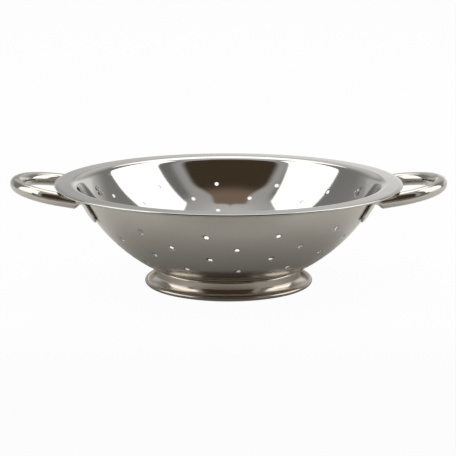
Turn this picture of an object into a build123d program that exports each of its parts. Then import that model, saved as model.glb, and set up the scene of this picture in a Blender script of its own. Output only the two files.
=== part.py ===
from build123d import *
from math import acos, asin, atan2, cos, degrees, radians, sin, sqrt
import os

# A steel colander: a pressed, perforated bowl on a rolled foot ring, with two tube handles
# whose flattened ends are spot welded to the wall under the rim.
# Millimetres. +Z is up and X runs through both handles. The origin is the centre of the
# foot's flat bottom, on the table.

# Bowl, one pressed sheet: flat base, round wall, flat rim and a rolled edge
overall_height = 83.3
rim_radius = 140.0
rim_width = 16.06
rim_roll_radius = 1.0
bowl_sheet = 0.8
shoulder_radius = 6.0
base_height = 13.9
base_radius = 61.4
base_corner_radius = 21.0

# Drain holes, in staggered rings down the wall and in rings over the base
hole_radius = 1.8
holes_per_ring = 13
wall_ring_depth_shares = (0.336, 0.496, 0.633, 0.800)
wall_ring_angles = (-98.4, -86.5, -98.3, -84.8)
base_ring_pitch = 13.5
base_ring_counts = (4, 8, 13)

# Foot ring, one pressed sheet: inturned lip, tapered wall, flare and a rolled edge
foot_inset = 3.2
foot_taper = 0.9
foot_flare = 9.2
foot_roll_radius = 1.7
foot_sheet = 0.8
foot_shoulder_radius = 2.5
foot_flare_radius = 7.0
foot_lip_width = 12.5

# Handles, bent from round tube: a half-round loop that rises outwards, two legs that pass
# under the rim, a short crimp that flattens each, and a rounded tab at the end, bent down
# along the wall
tube_radius = 5.4
tube_wall = 1.0
loop_radius = 40.3
handle_rise_angle = 9.5
handle_rim_gap = 0.3
leg_length = 10.7
crimp_length = 5.0
tab_width = 16.0
tab_thickness = 2.2
tab_gap = 0.05
tab_length = 7.5
tab_bend_radius = 4.5

# How far along a crimp the tube has flattened how much, and the turn of its section's sides
flattening_shares = ((0.0, 0.0), (0.35, 0.19), (0.70, 0.66), (1.0, 1.0))
round_side_angle = 45.0
flat_side_angle = 88.0

# Spot welds, sunk a little below both faces of what they join
weld_radius = 2.0
weld_dimple = 0.2
tab_weld_shares = (0.2, 1.0)
foot_weld_count = 8
foot_weld_angle = 22.5

# One overrun serves every through cut
cut_overrun = 3.0

# The wall is part of a ball centred on the axis, through the mouth and the base's edge
rim_underside = overall_height - 2 * rim_roll_radius
mouth_radius = rim_radius - rim_width
bowl_depth = overall_height - base_height
wall_centre_height = (
    mouth_radius**2 - base_radius**2 + overall_height**2 - base_height**2
) / (2 * bowl_depth)
wall_radius = sqrt(mouth_radius**2 + (wall_centre_height - overall_height) ** 2)

# Bowl section, worked out where its arcs touch
base_corner_drop = wall_centre_height - base_height - base_corner_radius
base_turn = degrees(acos(base_corner_drop / (wall_radius - base_corner_radius)))
base_flat_radius = (wall_radius - base_corner_radius) * sin(radians(base_turn))
shoulder_drop = wall_centre_height - overall_height + bowl_sheet + shoulder_radius
shoulder_centre_radius = sqrt((wall_radius + shoulder_radius) ** 2 - shoulder_drop**2)
wall_top_turn = degrees(atan2(shoulder_centre_radius, shoulder_drop))

# Foot ring's radii, out from the base's edge
foot_neck_radius = base_radius - foot_inset
foot_skirt_radius = foot_neck_radius + foot_taper
foot_radius = foot_skirt_radius + foot_flare
foot_weld_ring_radius = foot_neck_radius - foot_lip_width / 2

# The right handle's far leg, in the upright plane that holds its line. The leg clears the
# rim's roll, and the bend below it leads into an arc that keeps the tab's gap from the wall
rise = radians(handle_rise_angle)
leg_direction = Vector(cos(rise), 0, sin(rise))
bend_direction = Vector(sin(rise), 0, -cos(rise))
tab_mid_radius = wall_radius + tab_gap + tab_thickness / 2
tab_path_radius = sqrt(tab_mid_radius**2 - loop_radius**2)
tab_azimuth = asin(loop_radius / tab_mid_radius)
wall_middle = Vector(0, loop_radius, wall_centre_height)
rim_crossing = Vector(
    sqrt((rim_radius - rim_roll_radius) ** 2 - loop_radius**2),
    loop_radius,
    rim_underside - handle_rim_gap - tube_radius / cos(rise),
)
bend_line = rim_crossing + bend_direction * tab_bend_radius - wall_middle
bend_shift = bend_line.dot(leg_direction)
bend_reach = (tab_path_radius + tab_bend_radius) ** 2 - bend_line.dot(bend_line)
bend_start = rim_crossing + leg_direction * (sqrt(bend_shift**2 + bend_reach) - bend_shift)
bend_centre = bend_start + bend_direction * tab_bend_radius - wall_middle
tab_angle = degrees(atan2(bend_centre.Z, bend_centre.X))
bend_turn = 90 + tab_angle - handle_rise_angle
leg_reach = leg_length + crimp_length
leg_start = bend_start + leg_direction * leg_reach
tab_weld_top = tab_gap + tab_thickness - weld_dimple
loop_axis = Axis((leg_start.X, 0, leg_start.Z), bend_direction)
handle_width = leg_start.X + loop_radius * cos(rise) + tube_radius

print("Wall radius", round(wall_radius, 2), "centred at", round(wall_centre_height, 2))
print("Foot", round(2 * foot_radius, 1), "wide, handles", round(2 * handle_width, 1), "over all")


def wall_plane(height, angle):
    """Plane on the outside of the round wall at a height, facing away from the bowl."""
    drop = wall_centre_height - height
    ring_radius = sqrt(wall_radius**2 - drop**2)
    out = Vector(ring_radius, 0, -drop).rotate(Axis.Z, angle)
    return Plane(origin=out + Vector(0, 0, wall_centre_height), z_dir=out)


def tab_plane(share, side):
    """Plane on the wall behind a right tab, at a share of the tab's length, facing out."""
    turn = radians(tab_angle) - share * tab_length / tab_path_radius
    reach = cos(tab_azimuth)
    out = Vector(reach * cos(turn), side * sin(tab_azimuth), reach * sin(turn))
    return Plane(origin=out * wall_radius + Vector(0, 0, wall_centre_height), z_dir=out)


def leg_plane(distance):
    """Section plane at a distance along a leg, its x along the tab's width and y through it."""
    place = leg_start - leg_direction * distance
    through = bend_direction * cos(tab_azimuth) + Vector(0, sin(tab_azimuth), 0)
    return Plane(origin=place, x_dir=through.cross(-leg_direction), z_dir=-leg_direction)


def flattened_outline(share):
    """The tube's outline, flattened by a share: an oval of four arcs that run smoothly on."""
    half_width = tube_radius + share * (tab_width / 2 - tube_radius)
    half_thickness = tube_radius + share * (tab_thickness / 2 - tube_radius)
    turn = radians(round_side_angle + share * (flat_side_angle - round_side_angle))
    shrink = half_thickness * cos(turn) - half_width * (1 - sin(turn))
    side_radius = shrink / (cos(turn) + sin(turn) - 1)
    corner_x = half_width - side_radius * (1 - cos(turn))
    corner_y = side_radius * sin(turn)
    with BuildSketch() as outline:
        with BuildLine():
            ThreePointArc((corner_x, -corner_y), (half_width, 0), (corner_x, corner_y))
            ThreePointArc((corner_x, corner_y), (0, half_thickness), (-corner_x, corner_y))
            ThreePointArc((-corner_x, corner_y), (-half_width, 0), (-corner_x, -corner_y))
            ThreePointArc((-corner_x, -corner_y), (0, -half_thickness), (corner_x, -corner_y))
        make_face()
    return outline.sketch_local


tab_weld_planes = [tab_plane(share, side) for share in tab_weld_shares for side in (1, -1)]

# Pockets that the welds of the right handle fill, through its tabs and the wall
with BuildPart() as tab_pockets:
    with Locations([plane.offset(cut_overrun + tab_thickness) for plane in tab_weld_planes]):
        Cylinder(
            weld_radius,
            2 * cut_overrun + tab_thickness + bowl_sheet,
            align=(Align.CENTER, Align.CENTER, Align.MAX),
        )

# Pockets that the welds of the foot ring fill, through its lip and the base
with BuildPart() as foot_pockets:
    with Locations(Plane.XY.offset(base_height + bowl_sheet + cut_overrun)):
        with PolarLocations(foot_weld_ring_radius, foot_weld_count, foot_weld_angle):
            Cylinder(
                weld_radius,
                foot_sheet + bowl_sheet + 2 * cut_overrun,
                align=(Align.CENTER, Align.CENTER, Align.MAX),
            )

# Bowl
with BuildPart() as bowl:
    with BuildSketch(Plane.XZ):
        with BuildLine():
            base = Line((0, base_height), (base_flat_radius, base_height))
            corner = JernArc(base @ 1, base % 1, base_corner_radius, base_turn)
            wall = JernArc(corner @ 1, corner % 1, wall_radius, wall_top_turn - base_turn)
            shoulder = JernArc(wall @ 1, wall % 1, shoulder_radius, -wall_top_turn)
            Line(shoulder @ 1, (rim_radius - rim_roll_radius, overall_height - bowl_sheet))
            offset(amount=bowl_sheet, side=Side.LEFT)
        make_face()
        with Locations((rim_radius - rim_roll_radius, overall_height - rim_roll_radius)):
            Circle(rim_roll_radius)
    revolve(axis=Axis.Z)

    # Wall holes, each ring about half a step round from the one above
    hole_step = 360 / holes_per_ring
    hole_planes = []
    for depth_share, ring_angle in zip(wall_ring_depth_shares, wall_ring_angles):
        ring_height = overall_height - depth_share * bowl_depth
        for hole in range(holes_per_ring):
            hole_plane = wall_plane(ring_height, ring_angle + hole * hole_step)
            hole_planes.append(hole_plane.offset(cut_overrun))
    with Locations(hole_planes):
        Hole(hole_radius, depth=bowl_sheet + 2 * cut_overrun)

    # Base holes, in rings round the middle
    with Locations(Plane.XY.offset(base_height + bowl_sheet + cut_overrun)):
        for ring, count in enumerate(base_ring_counts):
            with PolarLocations(base_ring_pitch * (ring + 1), count):
                Hole(hole_radius, depth=bowl_sheet + 2 * cut_overrun)

    add(tab_pockets.part, mode=Mode.SUBTRACT)
    mirror(tab_pockets.part, about=Plane.YZ, mode=Mode.SUBTRACT)
    add(foot_pockets.part, mode=Mode.SUBTRACT)

# Foot ring
with BuildPart() as foot_ring:
    with BuildSketch(Plane.XZ):
        with BuildLine():
            FilletPolyline(
                (foot_neck_radius - foot_lip_width, base_height),
                (foot_neck_radius, base_height),
                (foot_skirt_radius, foot_sheet),
                (foot_radius - foot_roll_radius, foot_sheet),
                radius=[foot_shoulder_radius, foot_flare_radius],
            )
            offset(amount=foot_sheet, side=Side.RIGHT)
        make_face()
        with Locations((foot_radius - foot_roll_radius, foot_roll_radius)):
            Circle(foot_roll_radius)
    revolve(axis=Axis.Z)
    add(foot_pockets.part, mode=Mode.SUBTRACT)

# Section of the round tube
with BuildSketch() as tube_ring:
    Circle(tube_radius)
    Circle(tube_radius - tube_wall, mode=Mode.SUBTRACT)

# One leg of the right handle with its tab: the straight tube, the crimp, the bend and the tab
with BuildPart() as leg:
    for crimp_share, flat_share in flattening_shares:
        with BuildSketch(leg_plane(leg_length + crimp_share * crimp_length)):
            add(flattened_outline(flat_share))
    loft()
    with BuildSketch(leg_plane(0)):
        add(tube_ring.sketch_local)
    extrude(amount=leg_length)
    with BuildLine(Plane.XZ.offset(-loop_radius)) as tab_path:
        bend = JernArc(bend_start, -leg_direction, tab_bend_radius, bend_turn)
        tab_arc = JernArc(bend @ 1, bend % 1, tab_path_radius, -degrees(tab_length / tab_path_radius))
    with BuildSketch(leg_plane(leg_reach)):
        add(flattened_outline(1))
    sweep(path=tab_path.line)
    tab_outwards = tab_plane(1, 1).z_dir
    tab_end = Plane(tab_arc @ 1, x_dir=tab_outwards.cross(tab_arc % 1), z_dir=tab_arc % 1)
    with BuildSketch(tab_end):
        add(flattened_outline(1))
        split(bisect_by=Plane.YZ)
    revolve(axis=Axis(tab_arc @ 1, -tab_outwards), revolution_arc=180)

# Right handle
with BuildPart() as right_handle:
    with BuildSketch(leg_plane(0)):
        add(tube_ring.sketch_local)
    revolve(axis=loop_axis, revolution_arc=180)
    add(leg.part)
    mirror(leg.part, about=Plane.XZ)
    add(tab_pockets.part, mode=Mode.SUBTRACT)

# Left handle
with BuildPart() as left_handle:
    mirror(right_handle.part, about=Plane.YZ)

# Welds of each handle
with BuildPart() as right_handle_welds:
    with Locations([plane.offset(tab_weld_top) for plane in tab_weld_planes]):
        Cylinder(
            weld_radius,
            tab_weld_top + bowl_sheet - weld_dimple,
            align=(Align.CENTER, Align.CENTER, Align.MAX),
        )

with BuildPart() as left_handle_welds:
    mirror(right_handle_welds.part, about=Plane.YZ)

# Welds of the foot ring
with BuildPart() as foot_welds:
    with Locations(Plane.XY.offset(base_height + bowl_sheet - weld_dimple)):
        with PolarLocations(foot_weld_ring_radius, foot_weld_count, foot_weld_angle):
            Cylinder(
                weld_radius,
                foot_sheet + bowl_sheet - 2 * weld_dimple,
                align=(Align.CENTER, Align.CENTER, Align.MAX),
            )

bowl.part.label = "bowl"
foot_ring.part.label = "foot_ring"
left_handle.part.label = "left_handle"
right_handle.part.label = "right_handle"
left_handle_welds.part.label = "left_handle_welds"
right_handle_welds.part.label = "right_handle_welds"
foot_welds.part.label = "foot_welds"

os.makedirs("parts", exist_ok=True)
export_step(bowl.part, "parts/bowl.step")
export_step(foot_ring.part, "parts/foot_ring.step")
export_step(left_handle.part, "parts/left_handle.step")
export_step(right_handle.part, "parts/right_handle.step")
export_step(left_handle_welds.part, "parts/left_handle_welds.step")
export_step(right_handle_welds.part, "parts/right_handle_welds.step")
export_step(foot_welds.part, "parts/foot_welds.step")
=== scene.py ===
"""Looks of a footed steel colander, laid out as a Blender add-on and run as a script.

Metres. +Z is up, X runs through both handles, and the origin is the centre of the foot's
flat bottom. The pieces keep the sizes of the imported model, apart from the eased edges of the
drain holes and the depth of the spot welds.
"""

from math import acos, asin, atan2, cos, pi, radians, sin, sqrt, tan
from types import SimpleNamespace

import bmesh
import bpy
from bpy.props import FloatProperty, FloatVectorProperty, IntProperty, PointerProperty
from mathutils import Euler, Matrix, Vector


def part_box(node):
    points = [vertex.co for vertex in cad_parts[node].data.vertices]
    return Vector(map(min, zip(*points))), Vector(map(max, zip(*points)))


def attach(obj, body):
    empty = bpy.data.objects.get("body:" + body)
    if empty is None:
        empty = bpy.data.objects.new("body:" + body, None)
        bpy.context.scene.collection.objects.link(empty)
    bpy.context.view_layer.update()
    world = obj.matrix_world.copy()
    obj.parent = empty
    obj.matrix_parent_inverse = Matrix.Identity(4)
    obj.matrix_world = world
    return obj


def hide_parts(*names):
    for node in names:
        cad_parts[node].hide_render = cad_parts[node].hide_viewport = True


bl_info = {
    "name": "Footed steel colander",
    "version": (1, 0, 0),
    "blender": (4, 5, 0),
    "location": "3D View > Sidebar > Colander",
    "description": "Builds a perforated steel bowl with a foot ring, tube handles and spot welds",
    "category": "Add Mesh",
}

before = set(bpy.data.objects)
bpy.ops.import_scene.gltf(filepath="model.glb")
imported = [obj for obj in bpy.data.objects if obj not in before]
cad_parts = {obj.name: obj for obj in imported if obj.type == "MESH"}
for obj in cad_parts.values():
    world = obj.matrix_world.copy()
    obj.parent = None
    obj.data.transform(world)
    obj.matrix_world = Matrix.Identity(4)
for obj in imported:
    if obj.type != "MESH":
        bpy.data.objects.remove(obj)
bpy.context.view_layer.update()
BOWL_LOW, BOWL_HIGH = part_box("bowl")
FOOT_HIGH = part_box("foot_ring")[1]

# Drain holes in each ring of the base, and the turn of the foot ring's first weld
BASE_RINGS = (4, 8, 13)
FOOT_WELD_TURN = radians(22.5)

# Places of a tab's welds, as shares of the tab's length
TAB_WELD_SHARES = (0.2, 1.0)

# Turn of the sides of the tube's outline when round and when flat, in degrees, and the terms of
# the cubic that gives how flat the tube is along the crimp
ROUND_SIDE, FLAT_SIDE = 45, 88
FLATTENING = (-0.216, 2.681, -1.465)

# Edges bent by more than this stay sharp, and faces further than this off the skin are cuts
CREASE = radians(35)
CUT_GAP = 2.5e-5

# Aim height for holes that point straight down
FAR_ABOVE = 1000.0

# Points nearer than this are one point, in a section's line and in a finished skin
SAME_IN_LINE = 1e-6
SAME_IN_SKIN = 1e-7

# Share by which a cut's corners are looked up nearer to the middle of their face
CORNER_NUDGE = 0.03

# Sides of a hole's punch and of a weld's plug
PUNCH_SIDES = 32
PLUG_SIDES = 28

# Top and bottom of the weld pockets from the wall or base, and how far a tab's pocket goes past it
BOWL_POCKET = (0.0006, -0.0014)
LIP_POCKET = (0.002, -0.001)
PAST_TAB = 0.001

# Rings along a handle: crimp, bend, tab, the tab's rounded end, and loop
CRIMP_STEPS, BEND_STEPS, TAB_STEPS, END_STEPS, LOOP_STEPS = 21, 14, 5, 12, 96

# Stretch of the polishing lines round the axis, and their stretch along a tube
LINES_ROUND = 3.0
LINES_ALONG = 12

# Colours of the light tent's cloth, of the dark room at its opening, of the paper floor, and of the painted
# shade on the floor
CLOTH = (1.0, 0.985, 0.965)
DARK_ROOM = (0.062, 0.044, 0.027)
DARK_CEILING = (0.23, 0.165, 0.12)
PALE_PAPER = (0.82, 0.81, 0.79)
PAINTED_SHADE_ON_PAPER = (0.13, 0.10, 0.08)

# How white the floor is to the camera, and how much of that shows in glossy metal
PAPER_TO_CAMERA = 0.97
PAPER_IN_GLOSS = 0.08

# Half the width of the floor, and where painted shade darkens it for all but camera rays: a painted shade
# from the first to the second place on Y in front, and a painted shadow under the bowl by a share within
# the two distances from the axis
FLOOR_REACH = 30
PAINTED_SHADE_IN_FRONT = (-0.24, -0.12)
PAINTED_SHADOW_UNDER = (0.07, 0.14)
PAINTED_SHADOW_SHARE = 0.6

# The tent by direction. Heights are shares of a right angle, and sides and turns are shares of
# the half turn from the front. OPENING is the opening's half width by height. WALLS, LOW_LIGHT,
# ROOF and WINDOW are brightness by side or height. The others say where one part fades to the
# next, some with the levels at both ends, and how far both windows are turned about the axis
OPENING = (
    (0.0, 0.225), (0.50, 0.230), (0.58, 0.222), (0.64, 0.185), (0.70, 0.150), (0.77, 0.150), (0.80, 0.0),
    (1.0, 0.0),
)
WALLS = (
    (0.0, 0.45), (0.27, 0.42), (0.32, 0.20), (0.38, 0.20), (0.62, 0.24), (0.74, 0.28), (0.86, 0.52),
    (1.0, 0.70),
)
LOW_LIGHT = (
    (0.0, 0.78), (0.098, 0.76), (0.115, 0.66), (0.13, 0.53), (0.18, 0.47), (0.28, 0.38), (0.36, 0.0),
    (1.0, 0.0),
)
WINDOW_TURN = 0.03
EDGE = (-0.014, 0.026)
LEFT_TO_RIGHT = (-0.16, 0.14, 0.72, 1.14)
BEHIND_BY_SIDE, BEHIND_BY_HEIGHT = (0.66, 0.78), (0.14, 0.24)
ROOF_FROM, DARK_CEILING_FROM = (0.60, 0.72), (0.60, 0.70)
WINDOW_FADE = (0.16, 0.24, 1.25, 0.0)
ROOF = ((0.0, 0.45), (0.70, 0.47), (0.82, 0.60), (0.92, 0.72), (1.0, 0.78))
WINDOW = ((0.0, 0.0), (0.37, 0.0), (0.41, 1.0), (0.60, 1.0), (0.64, 0.0), (1.0, 0.0))


# Sizes and colours that a user would change


def length(name, description, default):
    """A length setting."""
    return FloatProperty(name=name, description=description, default=default, unit="LENGTH")


def colour(name, description, default):
    """A colour setting."""
    return FloatVectorProperty(name=name, description=description, default=default, subtype="COLOR", size=3)


class ColanderBowl(bpy.types.PropertyGroup):
    """Sizes of the pressed bowl and its drain holes"""

    rim_radius: length("Rim radius", "Axis to the outside of the rolled edge", BOWL_HIGH.x)
    rim_height: length("Rim height", "Height of the rim's flat top above the table", BOWL_HIGH.z)
    base_height: length("Base height", "Height of the base's underside above the table", BOWL_LOW.z)
    rim_width: length(
        "Rim width", "Width of the rim, out from where the wall's curve would reach its height", 0.01606
    )
    roll_radius: length("Edge roll radius", "Radius of the rolled edge of the rim", 0.001)
    sheet: length("Sheet", "Thickness of the steel sheet", 0.0008)
    shoulder_radius: length("Shoulder radius", "Radius between wall and rim, underneath", 0.006)
    base_radius: length("Base radius", "Radius where the wall's curve would reach the base", 0.0614)
    base_corner_radius: length("Base corner radius", "Radius between base and wall, underneath", 0.021)
    hole_radius: length("Hole radius", "Radius of a drain hole", 0.0018)
    hole_edge: length("Hole edge", "Width of the eased edge round a drain hole", 0.00008)
    holes_per_ring: IntProperty(
        name="Holes per ring", description="Drain holes in each ring on the wall", default=13
    )
    ring_depths: FloatVectorProperty(
        name="Ring depths",
        description="Depth of each ring on the wall, as a share of the bowl's depth",
        size=4,
        default=(0.336, 0.496, 0.633, 0.800),
    )
    ring_angles: FloatVectorProperty(
        name="Ring angles",
        description="Turn of each ring's first hole about the axis",
        size=4,
        default=tuple(radians(a) for a in (-98.4, -86.5, -98.3, -84.8)),
        unit="ROTATION",
    )
    base_ring_pitch: length("Base ring pitch", "Step between the rings of holes in the base", 0.0135)
    steps_round: IntProperty(name="Steps round", description="Faces round the axis", default=240)


class ColanderFoot(bpy.types.PropertyGroup):
    """Sizes of the pressed foot ring"""

    radius: length("Foot radius", "Axis to the outside of the rolled edge", FOOT_HIGH.x)
    neck_radius: length("Neck radius", "Radius where the foot meets the base", 0.0582)
    skirt_radius: length("Skirt radius", "Radius where the skirt turns into the flare", 0.0591)
    lip_width: length("Lip width", "Width of the lip turned in under the base", 0.0125)
    roll_radius: length("Edge roll radius", "Radius of the rolled edge of the flare", 0.0017)
    sheet: length("Sheet", "Thickness of the steel sheet", 0.0008)
    shoulder_radius: length("Shoulder radius", "Radius between lip and skirt", 0.0025)
    flare_radius: length("Flare radius", "Radius between skirt and flare", 0.0070)


class ColanderHandle(bpy.types.PropertyGroup):
    """Sizes of the tube handles"""

    tube_radius: length("Tube radius", "Outside radius of the tube", 0.0054)
    loop_radius: length("Loop radius", "Radius of the loop's middle line", 0.0403)
    rise_angle: FloatProperty(
        name="Rise angle",
        description="How much the handle rises outwards",
        default=radians(9.5),
        subtype="ANGLE",
    )
    rim_gap: length("Rim gap", "Clearance between the tube and the rim's roll", 0.0003)
    leg_length: length("Leg length", "Length of straight round tube between loop and crimp", 0.0107)
    crimp_length: length("Crimp length", "Length over which the tube flattens", 0.005)
    tab_width: length("Tab width", "Width of the flattened end", 0.016)
    tab_thickness: length("Tab thickness", "Thickness of the flattened end", 0.0022)
    tab_gap: length("Tab gap", "Gap between tab and wall", 0.00005)
    tab_length: length("Tab length", "Length of the tab up to its rounded end", 0.0075)
    bend_radius: length("Bend radius", "Radius of the bend from leg to tab", 0.0045)


class ColanderWeld(bpy.types.PropertyGroup):
    """Sizes of the spot welds"""

    radius: length("Weld radius", "Radius of a spot weld", 0.002)
    dimple: length("Dimple", "How far a weld's edge lies below the faces it joins", 0.00002)
    dish: length("Dish", "How far a weld's middle lies below its edge", 0.00004)
    foot_welds: IntProperty(name="Foot welds", description="Spot welds round the foot ring's lip", default=8)


class ColanderSteel(bpy.types.PropertyGroup):
    """Colours of the steel finishes"""

    satin: colour("Satin steel", "Colour of the bowl's outside", (0.66, 0.645, 0.595))
    mirror: colour("Mirror steel", "Colour of the bowl's polished inside and rim", (0.67, 0.66, 0.64))
    tube: colour("Tube steel", "Colour of the polished handles", (0.64, 0.62, 0.575))
    foot: colour("Foot steel", "Colour of the polished foot ring", (0.58, 0.53, 0.465))
    weld: colour("Weld", "Colour of the pressed spot welds", (0.63, 0.615, 0.59))


# Node trees, written with short helpers


def fill(tree, node, sockets):
    """Fills a node's sockets from values, from nodes or from other sockets."""
    for key, value in sockets.items():
        if isinstance(value, bpy.types.Node):
            value = value.outputs[0]
        if isinstance(value, bpy.types.NodeSocket):
            tree.links.new(value, node.inputs[key])
        else:
            node.inputs[key].default_value = value


def put(tree, kind, sockets=None, **options):
    """Adds a node with its options set and its sockets filled."""
    node = tree.nodes.new(kind)
    for name, value in options.items():
        setattr(node, name, value)
    fill(tree, node, sockets or {})
    return node


def work_out(tree, operation, *values):
    """A Math node's result."""
    return put(tree, "ShaderNodeMath", dict(enumerate(values)), operation=operation).outputs[0]


def times(tree, first, second):
    """Two values multiplied."""
    return work_out(tree, "MULTIPLY", first, second)


def parts(tree, value):
    """A vector's X, Y and Z."""
    return put(tree, "ShaderNodeSeparateXYZ", {0: value}).outputs


def vector(tree, *values):
    """A vector made of its X, Y and Z."""
    return put(tree, "ShaderNodeCombineXYZ", dict(enumerate(values))).outputs[0]


def squares(tree, apart):
    """The squared distance from the Z axis, from a place's parts."""
    return work_out(tree, "ADD", times(tree, apart[0], apart[0]), times(tree, apart[1], apart[1]))


def compare(tree, first, operation, second):
    """Whether one value is above or below another."""
    return put(tree, "FunctionNodeCompare", {0: first, 1: second}, operation=operation).outputs[0]


def ramp(tree, value, low, high, start=0.0, end=1.0, kind="SMOOTHSTEP"):
    """A value that goes from start to end while another goes from low to high."""
    sockets = {0: value, 1: low, 2: high, 3: start, 4: end}
    return put(tree, "ShaderNodeMapRange", sockets, interpolation_type=kind).outputs[0]


def noise(tree, place, scale, detail, roughness):
    """A noise pattern's values."""
    sockets = {"Vector": place, "Scale": scale, "Detail": detail, "Roughness": roughness}
    return put(tree, "ShaderNodeTexNoise", sockets).outputs["Fac"]


def mixed(tree, share, first, second, **options):
    """A blend of two colours, each given or taken from a socket."""
    ends = [(*end, 1) if isinstance(end, tuple) else end for end in (first, second)]
    return put(
        tree, "ShaderNodeMix", {0: share, 6: ends[0], 7: ends[1]}, data_type="RGBA", **options
    ).outputs[2]


def points_of(tree, helper):
    """The points that a helper object holds."""
    return put(tree, "GeometryNodeObjectInfo", {0: helper}).outputs["Geometry"]


def named(tree, name, kind="FLOAT"):
    """A stored attribute, read by its name."""
    return put(tree, "GeometryNodeInputNamedAttribute", {"Name": name}, data_type=kind).outputs[0]


def on_domain(tree, value, domain, kind="FLOAT_VECTOR"):
    """A value taken to faces or to corners."""
    return put(tree, "GeometryNodeFieldOnDomain", {0: value}, domain=domain, data_type=kind).outputs[0]


def nearest_on(tree, surface, value, kind="FLOAT_VECTOR", place=None):
    """A surface's value at its point nearest to the geometry, or to a place if one is given."""
    sockets = {0: surface, "Value": value}
    if place is not None:
        sockets["Sample Position"] = place
    return put(tree, "GeometryNodeSampleNearestSurface", sockets, data_type=kind).outputs[0]


def creased(tree, geometry, angle):
    """Smooths the edges that bend less than an angle, and keeps the others sharp."""
    flat = compare(tree, put(tree, "GeometryNodeInputMeshEdgeAngle"), "LESS_EQUAL", angle)
    return put(tree, "GeometryNodeSetShadeSmooth", {0: geometry, "Shade Smooth": flat}, domain="EDGE")


def finish_tree(tree, end, last):
    """Links a tree's last node to its output."""
    tree.links.new(last.outputs[0], end.inputs[0])
    return tree


def coated(tree, end, geometry, material):
    """Ends a tree with real geometry in one material."""
    solid = put(tree, "GeometryNodeRealizeInstances", {0: geometry})
    painted = put(tree, "GeometryNodeSetMaterial", {0: solid, "Material": material})
    finish_tree(tree, end, painted)


def new_tree(name, inputs):
    """A Geometry Nodes tree with a geometry output and named inputs of (kind, name, default)."""
    tree = bpy.data.node_groups.new(name, "GeometryNodeTree")
    tree.interface.new_socket("Geometry", in_out="OUTPUT", socket_type="NodeSocketGeometry")
    for kind, label, default in inputs:
        socket = tree.interface.new_socket(label, in_out="INPUT", socket_type="NodeSocket" + kind)
        if default is not None:
            socket.default_value = default
    start = tree.nodes.new("NodeGroupInput").outputs
    return tree, start, tree.nodes.new("NodeGroupOutput")


def use(tree, group, sockets):
    """Puts another tree into this one, as a group node."""
    return put(tree, "GeometryNodeGroup", sockets, node_tree=group).outputs[0]


def turned_section_tree():
    """Turns a section, drawn as a line of points, about the Z axis into a closed skin."""
    tree, start, end = new_tree(
        "Turned section", [("Geometry", "Section", None), ("Int", "Steps round", 240)]
    )
    count = put(
        tree, "GeometryNodeAttributeDomainSize", {0: start["Section"]}, component="MESH"
    ).outputs["Point Count"]
    columns = put(
        tree, "FunctionNodeIntegerMath", {0: start["Steps round"], 1: 1}, operation="ADD"
    ).outputs[0]
    grid = put(tree, "GeometryNodeMeshGrid", {"Vertices X": count, "Vertices Y": columns})
    index = put(tree, "GeometryNodeInputIndex").outputs[0]
    row = put(tree, "FunctionNodeIntegerMath", {0: index, 1: columns}, operation="DIVIDE_FLOOR").outputs[0]
    column = put(tree, "FunctionNodeIntegerMath", {0: index, 1: columns}, operation="MODULO").outputs[0]
    place = put(tree, "GeometryNodeInputPosition").outputs[0]
    point = put(
        tree, "GeometryNodeSampleIndex", {0: start["Section"], 1: place, 2: row}, data_type="FLOAT_VECTOR"
    ).outputs[0]
    share = work_out(tree, "DIVIDE", column, start["Steps round"])
    angle = times(tree, share, 2 * pi)
    spun = put(
        tree, "ShaderNodeVectorRotate", {"Vector": point, "Axis": (0, 0, 1), "Angle": angle}
    ).outputs[0]
    marked = put(
        tree,
        "GeometryNodeStoreNamedAttribute",
        {0: grid, "Name": "section_row", "Value": row},
        data_type="FLOAT",
        domain="POINT",
    )
    moved = put(tree, "GeometryNodeSetPosition", {0: marked, "Position": spun})
    closed = put(tree, "GeometryNodeMergeByDistance", {0: moved, "Distance": SAME_IN_SKIN})
    return finish_tree(tree, end, closed)


def hole_ring_tree():
    """Sets one ring of punches round the axis, each turned away from a point on the axis."""
    tree, start, end = new_tree(
        "Ring of holes",
        [
            ("Geometry", "Punch", None),
            ("Int", "Count", 13),
            ("Float", "Ring radius", 0.1),
            ("Float", "Height", 0.05),
            ("Float", "Turn", 0.0),
            ("Float", "Aim height", 1.0),
        ],
    )
    line = put(tree, "GeometryNodeMeshLine", {"Count": start["Count"]})
    index = put(tree, "GeometryNodeInputIndex").outputs[0]
    step = work_out(tree, "DIVIDE", 2 * pi, start["Count"])
    angle = work_out(tree, "MULTIPLY_ADD", index, step, start["Turn"])
    out, over = (
        times(tree, start["Ring radius"], work_out(tree, kind, angle)) for kind in ("COSINE", "SINE")
    )
    spot = vector(tree, out, over, start["Height"])
    ring = put(tree, "GeometryNodeSetPosition", {0: line, "Position": spot})
    aim = vector(tree, 0.0, 0.0, start["Aim height"])
    place = put(tree, "GeometryNodeInputPosition")
    away = put(tree, "ShaderNodeVectorMath", {0: place, 1: aim}, operation="SUBTRACT")
    turned = put(tree, "FunctionNodeAlignRotationToVector", {"Vector": away}, axis="Z")
    punches = put(
        tree, "GeometryNodeInstanceOnPoints", {0: ring, "Instance": start["Punch"], "Rotation": turned}
    )
    return finish_tree(tree, end, punches)


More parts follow.
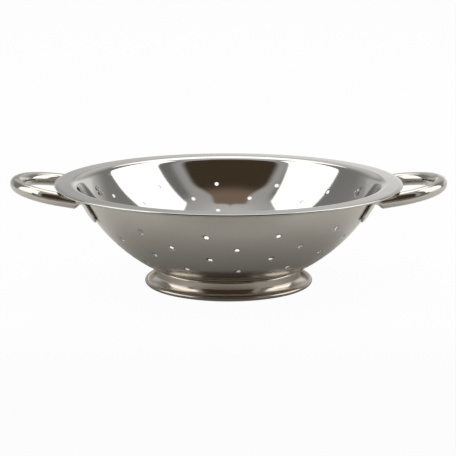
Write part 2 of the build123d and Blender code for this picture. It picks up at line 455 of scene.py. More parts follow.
def punch_tree():
    """A round punch that flares at both ends, centred in the sheet, for a hole with eased edges."""
    tree, start, end = new_tree(
        "Flared punch", [("Float", "Radius", 0.0018), ("Float", "Sheet", 0.0008), ("Float", "Edge", 0.00015)]
    )
    pin = put(
        tree,
        "GeometryNodeMeshCylinder",
        {"Vertices": PUNCH_SIDES, "Side Segments": 5, "Radius": 1.0, "Depth": 1.0},
    )
    apart = parts(tree, put(tree, "GeometryNodeInputPosition"))
    # The pin's rows at heights of 0.1, 0.3 and 0.5 to both sides become levels 0, 1 and 2
    level = times(tree, work_out(tree, "SUBTRACT", work_out(tree, "ABSOLUTE", apart[2]), 0.1), 5.0)
    flare = times(tree, level, start["Edge"])
    radius = work_out(tree, "ADD", start["Radius"], flare)
    inner = work_out(tree, "MULTIPLY_ADD", start["Sheet"], 0.5, times(tree, start["Edge"], -1.0))
    height = times(tree, work_out(tree, "SIGN", apart[2]), work_out(tree, "ADD", inner, flare))
    place = vector(tree, times(tree, apart[0], radius), times(tree, apart[1], radius), height)
    shaped = put(tree, "GeometryNodeSetPosition", {0: pin, "Position": place})
    return finish_tree(tree, end, shaped)


def dished_plug_tree():
    """A plug between two heights along Z, with both ends dished by a depth."""
    tree, start, end = new_tree(
        "Dished plug",
        [
            ("Float", "Radius", 0.002), ("Float", "Top", 0.001), ("Float", "Bottom", -0.001),
            ("Float", "Dish", 0.0), ("Int", "Rings", 4),
        ],
    )
    sockets = {"Vertices": PLUG_SIDES, "Fill Segments": start["Rings"], "Radius": 1.0, "Depth": 1.0}
    pin = put(tree, "GeometryNodeMeshCylinder", sockets, fill_type="TRIANGLE_FAN")
    apart = parts(tree, put(tree, "GeometryNodeInputPosition"))
    dish = times(tree, work_out(tree, "SUBTRACT", 1.0, squares(tree, apart)), start["Dish"])
    top = work_out(tree, "SUBTRACT", start["Top"], dish)
    bottom = work_out(tree, "ADD", start["Bottom"], dish)
    upper = work_out(tree, "GREATER_THAN", apart[2], 0.0)
    height = work_out(tree, "MULTIPLY_ADD", upper, work_out(tree, "SUBTRACT", top, bottom), bottom)
    across, along = (times(tree, apart[i], start["Radius"]) for i in (0, 1))
    place = vector(tree, across, along, height)
    shaped = put(tree, "GeometryNodeSetPosition", {0: pin, "Position": place})
    return finish_tree(tree, end, shaped)


def cut_skin_tree():
    """Cuts punches out of a smooth skin and keeps the skin's own shading round the cuts."""
    tree, start, end = new_tree(
        "Cut skin", [("Geometry", "Skin", None), ("Geometry", "Punches", None), ("Float", "Crease", CREASE)]
    )
    skin = creased(tree, start["Skin"], start["Crease"])
    tools = put(tree, "GeometryNodeRealizeInstances", {0: start["Punches"]})
    cut = put(tree, "GeometryNodeMeshBoolean", {0: skin, 1: tools}, operation="DIFFERENCE", solver="MANIFOLD")
    place = put(tree, "GeometryNodeInputPosition").outputs[0]
    gap = put(tree, "GeometryNodeProximity", {0: skin}).outputs["Distance"]
    gap_of_face = on_domain(tree, gap, "FACE", "FLOAT")
    inside_cut = compare(tree, gap_of_face, "GREATER_THAN", CUT_GAP)
    marked = put(
        tree,
        "GeometryNodeStoreNamedAttribute",
        {0: cut, "Name": "cut_face", "Value": inside_cut},
        data_type="BOOLEAN",
        domain="FACE",
    )
    is_cut = named(tree, "cut_face", "BOOLEAN")
    normal = put(tree, "GeometryNodeInputNormal").outputs[0]
    middle = on_domain(tree, place, "FACE")
    nudged = put(tree, "ShaderNodeMix", {0: CORNER_NUDGE, 4: place, 5: middle}, data_type="VECTOR").outputs[1]
    on_corners = on_domain(tree, normal, "CORNER")
    of_skin = nearest_on(tree, skin, on_corners, place=nudged)
    of_tool = nearest_on(tree, tools, normal, place=place)
    inward = put(tree, "ShaderNodeVectorMath", {0: of_tool, "Scale": -1.0}, operation="SCALE").outputs[0]
    kept = put(tree, "GeometryNodeSwitch", {0: is_cut, 1: of_skin, 2: inward}, input_type="VECTOR").outputs[0]
    smooth = put(tree, "GeometryNodeSetShadeSmooth", {0: marked, "Shade Smooth": True})
    shaded = put(
        tree, "GeometryNodeSetMeshNormal", {0: smooth, "Custom Normal": kept}, mode="FREE", domain="CORNER"
    )
    return finish_tree(tree, end, shaded)


def group(name, build):
    """The node tree of that name, built the first time it is asked for."""
    found = bpy.data.node_groups.get(name)
    return found or build()


def grow(piece, tree, values):
    """Runs a Geometry Nodes tree on a piece with these inputs and keeps the result as its mesh."""
    modifier = piece.modifiers.new("Grow", "NODES")
    modifier.node_group = tree
    for item in tree.interface.items_tree:
        if item.in_out == "INPUT" and item.name in values:
            modifier[item.identifier] = values[item.name]
    bpy.context.view_layer.update()
    grown = bpy.data.meshes.new_from_object(piece.evaluated_get(bpy.context.evaluated_depsgraph_get()))
    piece.modifiers.clear()
    piece.data = grown
    grown.name = piece.name
    if not grown.polygons:
        raise RuntimeError(piece.name + " came out empty")
    return piece


def new_piece(name, points, edges=(), faces=()):
    """A mesh object at the origin from points in metres."""
    mesh = bpy.data.meshes.new(name)
    mesh.from_pydata([tuple(p) for p in points], list(edges), list(faces))
    piece = bpy.data.objects.new(name, mesh)
    bpy.context.scene.collection.objects.link(piece)
    return piece


def section_line(name, points):
    """A piece that is only the line of a section, in the plane of X and Z."""
    return new_piece(name, [(x, 0, z) for x, z in points], [(i, i + 1) for i in range(len(points) - 1)])


def settings(context):
    """The scene's settings of the bowl, foot, handles, welds and steel, in this order."""
    return [getattr(context.scene, name) for name in SETTINGS]


def finish_piece(piece, nodes):
    """Rides the piece on the row's one body, in place of these CAD nodes."""
    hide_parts(*nodes)
    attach(piece, "root")


# Sections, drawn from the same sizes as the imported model


def arc(centre, radius, start, end, steps):
    """Points of an arc, its angles in radians from straight out."""
    turns = [start + (end - start) * i / steps for i in range(steps + 1)]
    return [(centre[0] + radius * cos(t), centre[1] + radius * sin(t)) for t in turns]


def run(start, end, steps):
    """Points of a straight run."""
    return [
        (start[0] + (end[0] - start[0]) * i / steps, start[1] + (end[1] - start[1]) * i / steps)
        for i in range(steps + 1)
    ]


def joined(*stretches):
    """Stretches of a section as one line, without the points they share."""
    line = []
    for stretch in stretches:
        for point in stretch:
            if not line or sqrt((point[0] - line[-1][0]) ** 2 + (point[1] - line[-1][1]) ** 2) > SAME_IN_LINE:
                line.append(point)
    return line


def bowl_numbers(bowl):
    """Where the arcs of the bowl's section are centred and how far they turn."""
    mouth = bowl.rim_radius - bowl.rim_width
    rim, base = bowl.rim_height, bowl.base_height
    centre = (mouth**2 - bowl.base_radius**2 + rim**2 - base**2) / (2 * (rim - base))
    wall = sqrt(mouth**2 + (centre - bowl.rim_height) ** 2)
    corner = bowl.base_corner_radius
    base_turn = acos((centre - bowl.base_height - corner) / (wall - corner))
    drop = centre - bowl.rim_height + bowl.sheet + bowl.shoulder_radius
    reach = sqrt((wall + bowl.shoulder_radius) ** 2 - drop**2)
    return SimpleNamespace(
        centre=centre,
        wall=wall,
        base_turn=base_turn,
        flat=(wall - corner) * sin(base_turn),
        reach=reach,
        top_turn=atan2(reach, drop),
        depth=bowl.rim_height - bowl.base_height,
    )


def bowl_section(bowl):
    """The sheet's section from inside over the rim to outside, and how many points are inside."""
    n = bowl_numbers(bowl)
    sheet, roll, rim, base = bowl.sheet, bowl.roll_radius, bowl.rim_height, bowl.base_height
    corner_at = (n.flat, base + bowl.base_corner_radius)
    shoulder_at = (n.reach, rim - sheet - bowl.shoulder_radius)
    roll_at = (bowl.rim_radius - roll, rim - roll)
    under = asin((roll - sheet) / roll)
    inside = joined(
        run((0, base + sheet), (n.flat, base + sheet), 14),
        arc(corner_at, bowl.base_corner_radius - sheet, -pi / 2, n.base_turn - pi / 2, 8),
        arc((0, n.centre), n.wall - sheet, n.base_turn - pi / 2, n.top_turn - pi / 2, 42),
        arc(shoulder_at, bowl.shoulder_radius + sheet, pi / 2 + n.top_turn, pi / 2, 12),
        run((n.reach, rim), (roll_at[0], rim), 5),
        arc(roll_at, roll, pi / 2, 0, 5),
    )
    outside = joined(
        arc(roll_at, roll, 0, under - pi, 9),
        run((roll_at[0] - roll * cos(under), rim - sheet), (n.reach, rim - sheet), 4),
        arc(shoulder_at, bowl.shoulder_radius, pi / 2, pi / 2 + n.top_turn, 12),
        arc((0, n.centre), n.wall, n.top_turn - pi / 2, n.base_turn - pi / 2, 42),
        arc(corner_at, bowl.base_corner_radius, n.base_turn - pi / 2, -pi / 2, 8),
        run((n.flat, base), (0, base), 14),
    )
    return joined(inside, outside), len(inside)


def foot_section(foot, top):
    """The foot ring's closed section: lip, skirt, flare and rolled edge."""
    sheet, roll = foot.sheet, foot.roll_radius
    slope = atan2(top - sheet, foot.skirt_radius - foot.neck_radius)
    tuck = foot.shoulder_radius * tan(slope / 2)
    shoulder_at = (foot.neck_radius - tuck, top - foot.shoulder_radius)
    flare_at = (foot.skirt_radius + foot.flare_radius * tan(slope / 2), sheet + foot.flare_radius)
    roll_at = (foot.radius - roll, roll)
    meet = asin((roll - sheet) / roll)
    lip = foot.neck_radius - foot.lip_width
    return joined(
        run((lip, top), (shoulder_at[0], top), 4),
        arc(shoulder_at, foot.shoulder_radius, pi / 2, pi / 2 - slope, 10),
        arc(flare_at, foot.flare_radius, 3 * pi / 2 - slope, 3 * pi / 2, 14),
        [(roll_at[0] - roll * cos(meet), sheet)],
        arc(roll_at, roll, pi + meet, -pi / 2, 26),
        arc(flare_at, foot.flare_radius + sheet, 3 * pi / 2, 3 * pi / 2 - slope, 14),
        arc(shoulder_at, foot.shoulder_radius - sheet, pi / 2 - slope, pi / 2, 10),
        run((lip, top - sheet), (lip, top), 1),
    )


def handle_numbers(bowl, handle):
    """Where the right handle's far leg bends, and where its tab lies on the wall."""
    n = bowl_numbers(bowl)
    rise = handle.rise_angle
    along, down = Vector((cos(rise), 0, sin(rise))), Vector((sin(rise), 0, -cos(rise)))
    middle_radius = n.wall + handle.tab_gap + handle.tab_thickness / 2
    path_radius = sqrt(middle_radius**2 - handle.loop_radius**2)
    wall_middle = Vector((0, handle.loop_radius, n.centre))
    out = sqrt((bowl.rim_radius - bowl.roll_radius) ** 2 - handle.loop_radius**2)
    height = bowl.rim_height - 2 * bowl.roll_radius - handle.rim_gap - handle.tube_radius / cos(rise)
    crossing = Vector((out, handle.loop_radius, height))
    line = crossing + down * handle.bend_radius - wall_middle
    shift = line.dot(along)
    reach = (path_radius + handle.bend_radius) ** 2 - line.dot(line)
    bend_start = crossing + along * (sqrt(shift**2 + reach) - shift)
    bend_middle = bend_start + down * handle.bend_radius - wall_middle
    tab_angle = atan2(bend_middle.z, bend_middle.x)
    return SimpleNamespace(
        along=along,
        down=down,
        path_radius=path_radius,
        azimuth=asin(handle.loop_radius / middle_radius),
        bend_start=bend_start,
        tab_angle=tab_angle,
        bend_turn=pi / 2 + tab_angle - rise,
        leg_start=bend_start + along * (handle.leg_length + handle.crimp_length),
        wall=n.wall,
        centre=n.centre,
    )


def tab_weld_places(bowl, handle):
    """Places on the wall behind the right handle's tabs, with the way out of the wall at each."""
    n = handle_numbers(bowl, handle)
    places = []
    for share in TAB_WELD_SHARES:
        for side in (1, -1):
            turn = n.tab_angle - share * handle.tab_length / n.path_radius
            out = Vector((cos(turn) * cos(n.azimuth), side * sin(n.azimuth), sin(turn) * cos(n.azimuth)))
            places.append((out * n.wall + Vector((0, 0, n.centre)), out))
    return places


def mirrored(places):
    """The same places on the left side."""
    return [(Vector((-p.x, p.y, p.z)), Vector((-o.x, o.y, o.z))) for p, o in places]


def foot_weld_places(bowl, foot, weld):
    """Places on the base's underside over the foot ring's lip, with the way down at each."""
    ring = foot.neck_radius - foot.lip_width / 2
    turns = [FOOT_WELD_TURN + 2 * pi * i / weld.foot_welds for i in range(weld.foot_welds)]
    return [(Vector((ring * cos(t), ring * sin(t), bowl.base_height)), Vector((0, 0, -1))) for t in turns]


def turned_skin(tree, start):
    """The closed skin of the section that a tree is given."""
    sockets = {name: start[name] for name in ("Section", "Steps round")}
    return use(tree, group("Turned section", turned_section_tree), sockets)


def cut_skin(tree, skin, punches):
    """A skin with these punches cut out of it."""
    return use(tree, group("Cut skin", cut_skin_tree), {"Skin": skin, "Punches": punches})


def weld_pockets(tree, start, welds, top, bottom):
    """Plugs on a helper's points, to cut the pockets of its welds."""
    sockets = {"Radius": start["Weld radius"], "Top": top, "Bottom": bottom, "Rings": 1}
    pocket = use(tree, group("Dished plug", dished_plug_tree), sockets)
    return punches_at_points(tree, points_of(tree, start[welds]), pocket)


def place_points(piece, places):
    """Gives a piece these places as points, each with its way out."""
    mesh = bpy.data.meshes.new(piece.name)
    mesh.from_pydata([tuple(p) for p, _ in places], [], [])
    ways = mesh.attributes.new("way_out", "FLOAT_VECTOR", "POINT")
    ways.data.foreach_set("vector", [x for _, o in places for x in o])
    piece.data = mesh
    return piece


def helper_points(name, places):
    """A hidden helper object that holds places, for a tree to read."""
    return place_points(new_piece(name, []), places)


def punches_at_points(tree, points, punch):
    """Sets a punch or plug on each point, turned along its way out."""
    way = named(tree, "way_out", "FLOAT_VECTOR")
    turned = put(tree, "FunctionNodeAlignRotationToVector", {"Vector": way}, axis="Z")
    return put(
        tree, "GeometryNodeInstanceOnPoints", {0: points, "Instance": punch, "Rotation": turned}
    ).outputs[0]


# Steel finishes


def steel(
    name, base, *, roughness, spread, lines, line_depth, waves=0.0, wave_size=18.0, smudge=0.03,
    round_axis=True,
):
    """Steel with fine polishing lines, slow unevenness and faint smudges, on Object coordinates."""
    material = bpy.data.materials.new(name)
    material.use_nodes = True
    tree = material.node_tree
    shader = tree.nodes["Principled BSDF"]
    shader.inputs["Metallic"].default_value = 1.0
    place = put(tree, "ShaderNodeTexCoord").outputs["Object"]
    apart = parts(tree, place)
    if round_axis:
        reach = work_out(tree, "SQRT", squares(tree, apart))
        safe = work_out(tree, "MAXIMUM", reach, 0.001)
        out, over = (times(tree, work_out(tree, "DIVIDE", apart[i], safe), LINES_ROUND) for i in (0, 1))
        grain = vector(tree, out, over, times(tree, work_out(tree, "ADD", reach, apart[2]), lines))
    else:
        grain = put(
            tree,
            "ShaderNodeVectorMath",
            {0: place, 1: (lines, lines / LINES_ALONG, lines)},
            operation="MULTIPLY",
        ).outputs[0]
    scratches = noise(tree, grain, scale=1.0, detail=3.0, roughness=0.6)
    patches = noise(tree, place, scale=26.0, detail=3.0, roughness=0.55)
    dull = tuple(c * (1 - 2 * smudge) for c in base)
    tree.links.new(mixed(tree, patches, tuple(base), dull), shader.inputs["Base Color"])
    uneven = work_out(tree, "MULTIPLY_ADD", work_out(tree, "SUBTRACT", patches, 0.5), spread, roughness)
    rough = work_out(tree, "MULTIPLY_ADD", work_out(tree, "SUBTRACT", scratches, 0.5), spread, uneven)
    tree.links.new(rough, shader.inputs["Roughness"])
    fine = put(tree, "ShaderNodeBump", {"Strength": 1.0, "Distance": line_depth, "Height": scratches})
    if waves:
        swells = noise(tree, place, scale=wave_size, detail=1.0, roughness=0.4)
        fine = put(
            tree, "ShaderNodeBump", {"Strength": 1.0, "Distance": waves, "Height": swells, "Normal": fine}
        )
    tree.links.new(fine.outputs[0], shader.inputs["Normal"])
    return material


# Pieces


class COLANDER_OT_bowl(bpy.types.Operator):
    """Build the perforated bowl from its section, with rings of punched drain holes"""

    bl_idname = "colander.bowl"
    bl_label = "Bowl"

    def execute(self, context):
        bowl, foot, handle, weld, colours = settings(context)
        n = bowl_numbers(bowl)
        points, inside_rows = bowl_section(bowl)
        piece = section_line("steel_bowl", points)
        tab_places = tab_weld_places(bowl, handle)
        tab_points = helper_points("tab_weld_points", tab_places + mirrored(tab_places))
        foot_points = helper_points("foot_weld_points", foot_weld_places(bowl, foot, weld))

        tree, start, end = new_tree(
            "Perforated bowl",
            [
                ("Geometry", "Section", None),
                ("Int", "Steps round", 240),
                ("Int", "Holes per ring", 13),
                ("Float", "Hole radius", 0.0018),
                ("Float", "Hole edge", 0.00015),
                ("Float", "Sheet", 0.0008),
                ("Float", "Weld radius", 0.002),
                ("Float", "Rows inside", 80.0),
                ("Object", "Tab welds", None),
                ("Object", "Foot welds", None),
                ("Material", "Outside", None),
                ("Material", "Inside", None),
                ("Material", "Hole wall", None),
            ],
        )
        skin = turned_skin(tree, start)
        sockets = {"Radius": start["Hole radius"], "Sheet": start["Sheet"], "Edge": start["Hole edge"]}
        punch = use(tree, group("Flared punch", punch_tree), sockets)
        ring_of_holes = group("Ring of holes", hole_ring_tree)
        together = put(tree, "GeometryNodeJoinGeometry")
        middle = n.wall - bowl.sheet / 2
        rings = []
        for depth_share, angle in zip(bowl.ring_depths, bowl.ring_angles):
            drop = n.centre - bowl.rim_height + depth_share * n.depth
            radius = sqrt(n.wall**2 - drop**2) * middle / n.wall
            height = n.centre - drop * middle / n.wall
            rings.append((start["Holes per ring"], radius, height, angle, n.centre))
        for ring, count in enumerate(BASE_RINGS):
            radius = bowl.base_ring_pitch * (ring + 1)
            rings.append((count, radius, bowl.base_height + bowl.sheet / 2, 0.0, FAR_ABOVE))
        for values in rings:
            sockets = dict(zip(("Count", "Ring radius", "Height", "Turn", "Aim height"), values))
            holes = use(tree, ring_of_holes, {"Punch": punch, **sockets})
            tree.links.new(holes, together.inputs[0])
        for label in ("Tab welds", "Foot welds"):
            tree.links.new(weld_pockets(tree, start, label, *BOWL_POCKET), together.inputs[0])
        cut = cut_skin(tree, skin, together)
        row = named(tree, "section_row")
        nearest = nearest_on(tree, skin, row, "FLOAT")
        inner = compare(tree, nearest, "LESS_THAN", start["Rows inside"])
        is_cut = named(tree, "cut_face", "BOOLEAN")
        solid = put(tree, "GeometryNodeRealizeInstances", {0: cut})
        for steel_name, where in (("Outside", True), ("Inside", inner), ("Hole wall", is_cut)):
            sockets = {0: solid, "Selection": where, "Material": start[steel_name]}
            solid = put(tree, "GeometryNodeSetMaterial", sockets)
        finish_tree(tree, end, solid)

        values = {
            "Steps round": bowl.steps_round,
            "Holes per ring": bowl.holes_per_ring,
            "Hole radius": bowl.hole_radius,
            "Hole edge": bowl.hole_edge,
            "Sheet": bowl.sheet,
            "Weld radius": weld.radius,
            "Rows inside": inside_rows - 1.5,
            "Tab welds": tab_points,
            "Foot welds": foot_points,
            "Outside": steel(
                "satin_steel_wall", colours.satin, roughness=0.19, spread=0.05, lines=900.0,
                line_depth=0.000006, waves=0.00006, wave_size=22.0, smudge=0.04,
            ),
            "Inside": steel(
                "mirror_steel_bowl", colours.mirror, roughness=0.07, spread=0.03, lines=1400.0,
                line_depth=0.000001, waves=0.0002, wave_size=20.0, smudge=0.01,
            ),
            "Hole wall": steel(
                "punched_steel_edge", colours.mirror, roughness=0.25, spread=0.1, lines=1500.0,
                line_depth=0.000005,
            ),
        }
        grow(piece, tree, values)
        bpy.data.objects.remove(tab_points)
        bpy.data.objects.remove(foot_points)
        finish_piece(piece, ["bowl"])
        return {"FINISHED"}


class COLANDER_OT_foot_ring(bpy.types.Operator):
    """Build the flared foot ring with its rolled edge"""

    bl_idname = "colander.foot_ring"
    bl_label = "Foot ring"

    def execute(self, context):
        bowl, foot, _, weld, colours = settings(context)
        piece = section_line("steel_foot_ring", foot_section(foot, bowl.base_height))
        weld_points = helper_points("lip_weld_points", foot_weld_places(bowl, foot, weld))
        tree, start, end = new_tree(
            "Foot ring",
            [
                ("Geometry", "Section", None),
                ("Int", "Steps round", 240),
                ("Float", "Weld radius", 0.002),
                ("Object", "Foot welds", None),
                ("Material", "Steel", None),
            ],
        )
        skin = turned_skin(tree, start)
        pockets = weld_pockets(tree, start, "Foot welds", *LIP_POCKET)
        coated(tree, end, cut_skin(tree, skin, pockets), start["Steel"])
        polish = steel(
            "polished_foot_steel", colours.foot, roughness=0.16, spread=0.04, lines=1100.0,
            line_depth=0.000006, waves=0.00004, wave_size=30.0, smudge=0.03,
        )
        values = {"Steps round": bowl.steps_round, "Weld radius": weld.radius}
        grow(piece, tree, {**values, "Foot welds": weld_points, "Steel": polish})
        bpy.data.objects.remove(weld_points)
        finish_piece(piece, ["foot_ring"])
        return {"FINISHED"}


def tube_outline(handle, share):
    """The tube's outline when flattened by a share, with its half thickness and half width."""
    half_width = handle.tube_radius + share * (handle.tab_width / 2 - handle.tube_radius)
    half_thick = handle.tube_radius + share * (handle.tab_thickness / 2 - handle.tube_radius)
    turn = radians(ROUND_SIDE + (FLAT_SIDE - ROUND_SIDE) * share)
    side = (half_thick * cos(turn) - half_width * (1 - sin(turn))) / (cos(turn) + sin(turn) - 1)
    corner = (half_width - side * (1 - cos(turn)), side * sin(turn))
    back = (corner[0] ** 2 + (half_thick - corner[1]) ** 2) / (2 * (half_thick - corner[1]))
    lean = asin(corner[0] / back)
    right = arc((half_width - side, 0), side, -turn, turn, 10)
    top = arc((0, half_thick - back), back, pi / 2 - lean, pi / 2 + lean, 12)
    left = [(-x, -y) for x, y in right]
    bottom = [(-x, -y) for x, y in top]

    def half_thickness(reach):
        if reach > corner[0]:
            return sqrt(max(0.0, side**2 - (reach - half_width + side) ** 2))
        return half_thick - back + sqrt(back**2 - reach**2)

    return right[:-1] + top[:-1] + left[:-1] + bottom[:-1], half_thickness, half_width


def tube_rings(bowl, handle):
    """Rings of points down the right handle, from its far tab round the loop to its near tab."""
    n = handle_numbers(bowl, handle)
    through = n.down * cos(n.azimuth) + Vector((0, sin(n.azimuth), 0))
    across = through.cross(-n.along)

    def ring(place, across, through, outline):
        return [place + across * x + through * y for x, y in outline]

    round_outline = tube_outline(handle, 0.0)[0]
    leg = [ring(n.leg_start, across, through, round_outline)]
    first, second, third = FLATTENING
    for i in range(CRIMP_STEPS + 1):
        t = i / CRIMP_STEPS
        flat = max(0.0, t * (t * (second + third * t) + first))
        place = n.leg_start - n.along * (handle.leg_length + handle.crimp_length * t)
        leg.append(ring(place, across, through, tube_outline(handle, flat)[0]))
    tab_outline, half_thickness, half_width = tube_outline(handle, 1.0)
    bend_middle = n.bend_start + n.down * handle.bend_radius
    for i in range(1, BEND_STEPS + 1):
        turn = Matrix.Rotation(-n.bend_turn * i / BEND_STEPS, 3, "Y")
        leg.append(
            ring(
                bend_middle + turn @ (n.bend_start - bend_middle), turn @ across, turn @ through, tab_outline
            ),
        )
    for i in range(1, TAB_STEPS + 1):
        step = handle.tab_length / n.path_radius * i / TAB_STEPS
        turn = Matrix.Rotation(step - n.bend_turn, 3, "Y")
        angle = n.tab_angle - step
        place = Vector(
            (n.path_radius * cos(angle), handle.loop_radius, n.centre + n.path_radius * sin(angle))
        )
        leg.append(ring(place, turn @ across, turn @ through, tab_outline))
    onward = turn @ -n.along
    for i in range(1, END_STEPS + 1):
        lean = pi / 2 * i / END_STEPS
        shrunk = []
        for x, y in tab_outline:
            reach = min(half_width, sqrt((x * cos(lean)) ** 2 + (half_width * sin(lean)) ** 2))
            thick = half_thickness(reach) if i < END_STEPS else 0.0
            shrunk.append((x * cos(lean), thick * (1 if y > 0 else -1 if y < 0 else 0)))
        leg.append(ring(place + onward * (half_width * sin(lean)), turn @ across, turn @ through, shrunk))
    loop_middle = Vector((n.leg_start.x, 0, n.leg_start.z))
    loop = []
    for i in range(1, LOOP_STEPS):
        turn = Matrix.Rotation(pi * i / LOOP_STEPS, 3, n.down)
        place = loop_middle + turn @ (n.leg_start - loop_middle)
        loop.append(ring(place, turn @ across, turn @ through, round_outline))
    near = [[Vector((p.x, -p.y, p.z)) for p in points] for points in leg]
    if (loop[0][0] - leg[0][0]).length > (loop[-1][0] - leg[0][0]).length:
        loop.reverse()
    return leg[::-1] + loop + near


def handle_skin(name, rings, side):
    """The handle's closed skin, its faces outwards. Side -1 is the left handle."""
    count = len(rings[0])
    points = [Vector((p.x * side, p.y, p.z)) for ring in rings for p in ring]
    faces = [
        (r * count + c, r * count + (c + 1) % count, (r + 1) * count + (c + 1) % count, (r + 1) * count + c)
        for r in range(len(rings) - 1)
        for c in range(count)
    ]
    piece = new_piece(name, points, faces=faces)
    form = bmesh.new()
    form.from_mesh(piece.data)
    bmesh.ops.remove_doubles(form, verts=form.verts, dist=SAME_IN_SKIN)
    bmesh.ops.recalc_face_normals(form, faces=form.faces)
    form.to_mesh(piece.data)
    form.free()
    return piece


class COLANDER_OT_handles(bpy.types.Operator):
    """Build both tube handles, flattened into tabs that lie on the wall"""

    bl_idname = "colander.handles"
    bl_label = "Handles"

    def execute(self, context):
        bowl, _, handle, weld, colours = settings(context)
        rings = tube_rings(bowl, handle)
        places = tab_weld_places(bowl, handle)
        polish = steel(
            "polished_tube_steel", colours.tube, roughness=0.06, spread=0.03, lines=700.0,
            line_depth=0.000002, waves=0.00003, wave_size=60.0, smudge=0.02, round_axis=False,
        )
        tree, start, end = new_tree(
            "Tabs with weld pockets",
            [
                ("Geometry", "Skin", None),
                ("Float", "Weld radius", 0.002),
                ("Float", "Tab thickness", 0.0022),
                ("Object", "Tab welds", None),
                ("Material", "Steel", None),
            ],
        )
        depth = work_out(tree, "ADD", start["Tab thickness"], PAST_TAB)
        pockets = weld_pockets(tree, start, "Tab welds", depth, -PAST_TAB)
        coated(tree, end, cut_skin(tree, start["Skin"], pockets), start["Steel"])
        for side, node in ((1, "right_handle"), (-1, "left_handle")):
            piece = handle_skin("tube_" + node, rings, side)
            points = helper_points(node + "_weld_points", places if side == 1 else mirrored(places))
            values = {"Weld radius": weld.radius, "Tab thickness": handle.tab_thickness}
            grow(piece, tree, {**values, "Tab welds": points, "Steel": polish})
            bpy.data.objects.remove(points)
            finish_piece(piece, [node])
        return {"FINISHED"}


class COLANDER_OT_welds(bpy.types.Operator):
    """Build the pressed spot welds of the handles' tabs and of the foot ring's lip"""

    bl_idname = "colander.welds"
    bl_label = "Spot welds"

    def execute(self, context):
        bowl, foot, handle, weld, colours = settings(context)
        tree, start, end = new_tree(
            "Spot welds",
            [
                ("Geometry", "Places", None), ("Float", "Radius", 0.002), ("Float", "Top", 0.002),
                ("Float", "Bottom", -0.001), ("Float", "Dish", 0.00015), ("Material", "Weld", None),
            ],
        )
        sockets = {name: start[name] for name in ("Radius", "Top", "Bottom", "Dish")}
        plug = use(tree, group("Dished plug", dished_plug_tree), {**sockets, "Rings": 4})
        solid = put(tree, "GeometryNodeRealizeInstances", {0: punches_at_points(tree, start["Places"], plug)})
        smooth = put(tree, "GeometryNodeSetShadeSmooth", {0: solid, "Shade Smooth": True})
        creases = creased(tree, smooth, CREASE)
        painted = put(tree, "GeometryNodeSetMaterial", {0: creases, "Material": start["Weld"]})
        finish_tree(tree, end, painted)
        dull = steel(
            "pressed_weld_steel", colours.weld, roughness=0.13, spread=0.05, lines=1200.0,
            line_depth=0.000002, waves=0.00001, wave_size=700.0, smudge=0.05,
        )
        places = tab_weld_places(bowl, handle)
        tab_top = handle.tab_gap + handle.tab_thickness - weld.dimple
        bottom = weld.dimple - bowl.sheet
        groups = (
            ("right_handle_welds", places, tab_top),
            ("left_handle_welds", mirrored(places), tab_top),
            ("foot_welds", foot_weld_places(bowl, foot, weld), foot.sheet - weld.dimple),
        )
        for node, spots, top in groups:
            piece = place_points(new_piece("spot_" + node, []), spots)
            values = {"Radius": weld.radius, "Top": top, "Bottom": bottom, "Dish": weld.dish, "Weld": dull}
            grow(piece, tree, values)
            finish_piece(piece, [node])
        return {"FINISHED"}


# Stage


def tent_world():
    """A light tent, dark at its open front and bright at its windows. A camera sees plain white."""
    world = bpy.data.worlds.new("light_tent")
    bpy.context.scene.world = world
    world.use_nodes = True
    tree = world.node_tree
    way = parts(tree, put(tree, "ShaderNodeTexCoord").outputs["Generated"])
    height = work_out(tree, "DIVIDE", work_out(tree, "ARCSINE", way[2]), pi / 2)
    turn = work_out(tree, "DIVIDE", work_out(tree, "ARCTAN2", way[0], times(tree, way[1], -1.0)), pi)
    side = work_out(tree, "ABSOLUTE", turn)

    def curve(value, points):
        node = put(tree, "ShaderNodeFloatCurve", {1: value})
        line = node.mapping.curves[0]
        line.points[0].location, line.points[1].location = points[0], points[-1]
        for x, y in points[1:-1]:
            line.points.new(x, y)
        node.mapping.update()
        return node.outputs[0]

    def blend(share, first, second):
        return put(tree, "ShaderNodeMix", {0: share, 2: first, 3: second}).outputs[0]

    opening = curve(height, OPENING)
    edge = ramp(tree, work_out(tree, "SUBTRACT", side, opening), *EDGE, 1.0, 0.0)
    walls = curve(side, WALLS)
    slope = ramp(tree, way[0], *LEFT_TO_RIGHT)
    low_light = curve(height, LOW_LIGHT)
    behind = times(tree, ramp(tree, side, *BEHIND_BY_SIDE), ramp(tree, height, *BEHIND_BY_HEIGHT, 1.0, 0.0))
    low_walls = blend(behind, walls, times(tree, low_light, slope))
    roof = curve(height, ROOF)
    cloth_level = blend(ramp(tree, height, *ROOF_FROM), low_walls, roof)
    from_window = work_out(tree, "ABSOLUTE", work_out(tree, "SUBTRACT", turn, WINDOW_TURN))
    window = curve(from_window, WINDOW)
    glow = times(tree, window, ramp(tree, height, *WINDOW_FADE))
    level = work_out(tree, "MAXIMUM", cloth_level, glow)
    cloth = mixed(tree, level, (0, 0, 0), CLOTH, clamp_factor=False)
    dark = mixed(tree, ramp(tree, height, *DARK_CEILING_FROM), DARK_ROOM, DARK_CEILING)
    room = mixed(tree, edge, cloth, dark)
    seen = put(tree, "ShaderNodeLightPath").outputs
    plain = work_out(tree, "MAXIMUM", seen["Is Camera Ray"], seen["Is Transmission Ray"])
    shown = mixed(tree, plain, room, (1, 1, 1))
    tree.links.new(shown, tree.nodes["Background"].inputs["Color"])


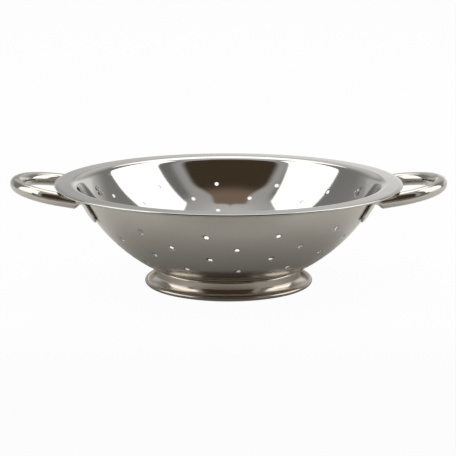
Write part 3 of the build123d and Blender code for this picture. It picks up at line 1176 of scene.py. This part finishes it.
def soft_box(name, place, size, brightness, facing, lean=0.0):
    """A large soft lamp of this brightness, its face turned by the angles and leant about X."""
    lamp = bpy.data.lights.new(name, "AREA")
    lamp.shape, lamp.size, lamp.size_y = "RECTANGLE", size[0], size[1]
    lamp.energy = brightness * pi * size[0] * size[1]
    lamp.color = CLOTH
    box = bpy.data.objects.new(name, lamp)
    bpy.context.scene.collection.objects.link(box)
    box.location = place
    box.rotation_euler = (Matrix.Rotation(lean, 3, "X") @ Euler(facing).to_matrix()).to_euler()
    return box


class COLANDER_OT_stage(bpy.types.Operator):
    """Set up the floor, the light tent with three soft boxes, and the camera"""

    bl_idname = "colander.stage"
    bl_label = "Stage"

    def execute(self, context):
        floor = new_piece(
            "floor",
            [(FLOOR_REACH * x, FLOOR_REACH * y, 0) for x, y in ((-1, -1), (1, -1), (1, 1), (-1, 1))],
            faces=[(0, 1, 2, 3)],
        )
        paper = bpy.data.materials.new("pale_paper")
        paper.use_nodes = True
        tree = paper.node_tree
        shader = tree.nodes["Principled BSDF"]
        # The paper is white to the camera; for other rays it carries a painted shade in front of the bowl and
        # a painted shadow under it
        place = put(tree, "ShaderNodeTexCoord").outputs["Object"]
        apart = parts(tree, place)
        # Painted shade on the floor in front of the bowl, darker further in front
        front = ramp(tree, apart[1], *PAINTED_SHADE_IN_FRONT, 1.0, 0.0, kind="LINEAR")
        reach = put(tree, "ShaderNodeVectorMath", {0: place}, operation="LENGTH").outputs["Value"]
        # Painted shadow on the floor under the bowl, darkest near the axis
        under = ramp(tree, reach, *PAINTED_SHADOW_UNDER, PAINTED_SHADOW_SHARE, 0.0, kind="LINEAR")
        paper_and_painted_shade = mixed(tree, work_out(tree, "MAXIMUM", front, under), PALE_PAPER, PAINTED_SHADE_ON_PAPER)
        tree.links.new(paper_and_painted_shade, shader.inputs["Base Color"])
        shader.inputs["Roughness"].default_value = 0.9
        glow = put(tree, "ShaderNodeEmission", {0: (1, 1, 1, 1), 1: 1.0})
        seen = put(tree, "ShaderNodeLightPath").outputs
        to_camera = times(tree, seen["Is Camera Ray"], PAPER_TO_CAMERA)
        lit = work_out(tree, "ADD", to_camera, times(tree, seen["Is Glossy Ray"], PAPER_IN_GLOSS))
        blended = put(tree, "ShaderNodeMixShader", {0: lit, 1: shader.outputs[0], 2: glow.outputs[0]})
        tree.links.new(blended.outputs[0], tree.nodes["Material Output"].inputs["Surface"])
        floor.data.materials.append(paper)

        tent_world()
        soft_box(
            "soft_box_left", (-3.0, -0.50, 3.45), (3.1, 5.1), 1.5, (pi / 2, 0, -pi / 2), lean=radians(-10)
        )
        soft_box("soft_box_right", (3.0, 0.07, 3.40), (2.67, 5.3), 1.5, (pi / 2, 0, pi / 2))
        soft_box("soft_box_above", (0.0, 1.27, 2.72), (3.0, 1.9), 1.2, (radians(-25), 0, 0))

        camera = bpy.data.objects.new("camera", bpy.data.cameras.new("camera"))
        context.scene.collection.objects.link(camera)
        camera.data.sensor_width = 36
        camera.data.lens = 113.07
        camera.data.clip_end = 100
        camera.location = (-0.0005, -1.1398, 0.2873)
        camera.rotation_euler = (radians(77.95), 0, 0)
        context.scene.camera = camera
        context.scene.view_settings.view_transform = "Standard"
        return {"FINISHED"}


class COLANDER_PT_pieces(bpy.types.Panel):
    """Lists the pieces of the colander and its stage"""

    bl_idname = "COLANDER_PT_pieces"
    bl_label = "Colander"
    bl_space_type = "VIEW_3D"
    bl_region_type = "UI"
    bl_category = "Colander"

    def draw(self, context):
        column = self.layout.column(align=True)
        for build in OPERATORS:
            column.operator(build.bl_idname, text=build.bl_label)
        for name, kind in SETTINGS.items():
            box = self.layout.box()
            for field in kind.__annotations__:
                box.prop(getattr(context.scene, name), field)


OPERATORS = (
    COLANDER_OT_bowl, COLANDER_OT_foot_ring, COLANDER_OT_handles, COLANDER_OT_welds, COLANDER_OT_stage
)
SETTINGS = {
    "colander_bowl": ColanderBowl,
    "colander_foot": ColanderFoot,
    "colander_handle": ColanderHandle,
    "colander_weld": ColanderWeld,
    "colander_steel": ColanderSteel,
}


def register():
    for kind in (*SETTINGS.values(), *OPERATORS, COLANDER_PT_pieces):
        bpy.utils.register_class(kind)
    for name, kind in SETTINGS.items():
        setattr(bpy.types.Scene, name, PointerProperty(type=kind))


def unregister():
    for name in SETTINGS:
        delattr(bpy.types.Scene, name)
    for kind in (COLANDER_PT_pieces, *reversed(OPERATORS), *SETTINGS.values()):
        bpy.utils.unregister_class(kind)


def main():
    register()
    bpy.ops.colander.bowl()
    bpy.ops.colander.foot_ring()
    bpy.ops.colander.handles()
    bpy.ops.colander.welds()
    bpy.ops.colander.stage()


if __name__ == "__main__":
    main()
